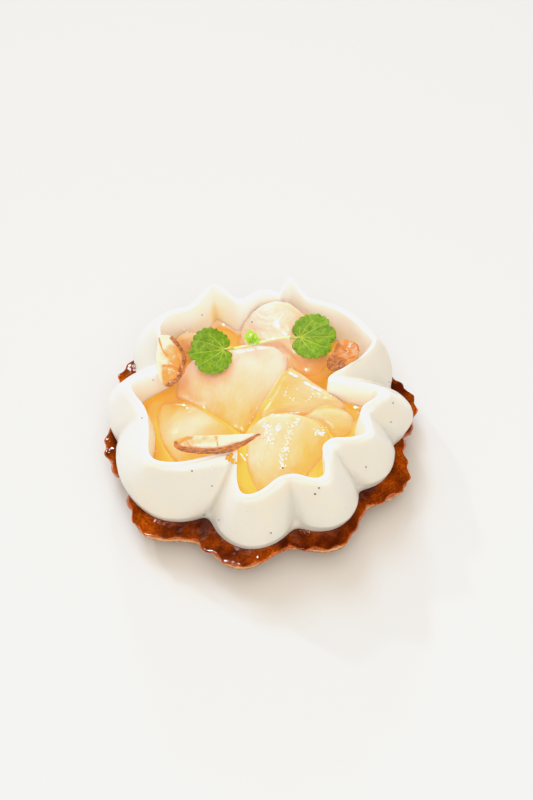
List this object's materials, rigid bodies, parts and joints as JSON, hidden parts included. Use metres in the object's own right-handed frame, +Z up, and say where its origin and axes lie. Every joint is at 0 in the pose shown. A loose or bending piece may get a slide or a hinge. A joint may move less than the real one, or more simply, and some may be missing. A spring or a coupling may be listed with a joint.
{
  "type": "pear almond tart",
  "caption": "Scalloped shortcrust tart with a glazed rim, a ruffled ring of piped cream, glazed pear slices, roasted almond pieces and a mint sprig",
  "frame": {"origin": "centre of the crust's flat underside, on the surface that the tart stands on", "axes": "+Z up out of the crust, +Y to the back of the tart as pictured, +X to its right"},
  "size_m": [0.0902, 0.0912, 0.0321],
  "materials": {
    "pastry": "baked shortcrust with a glossy dark caramel glaze on the rim and a matte side",
    "cream": "smooth whipped cream, satin, with fine vanilla specks",
    "gel": "clear golden pear jelly, wet gloss",
    "pear": "poached pear under a clear glaze, translucent and glossy",
    "almond": "roasted almond, pale cut faces and brown wrinkled skin",
    "mint": "fresh green leaf with pale veins, satin",
    "mint_stalk": "pale green stalk and bright bud"
  },
  "bodies": {
    "root": {"tart_base": "pastry", "cream_ruffle": "cream", "pear_jelly": "gel", "pear_centre_left": "pear", "pear_centre_right": "pear", "pear_right": "pear", "pear_front": "pear", "pear_front_left": "pear", "pear_back": "pear", "pear_back_left": "pear", "almond_half": "almond", "almond_chunk": "almond", "almond_sliver": "almond", "mint_leaf_left": "mint", "mint_leaf_right": "mint", "mint_stalk": "mint_stalk"}
  },
  "joints": []
}
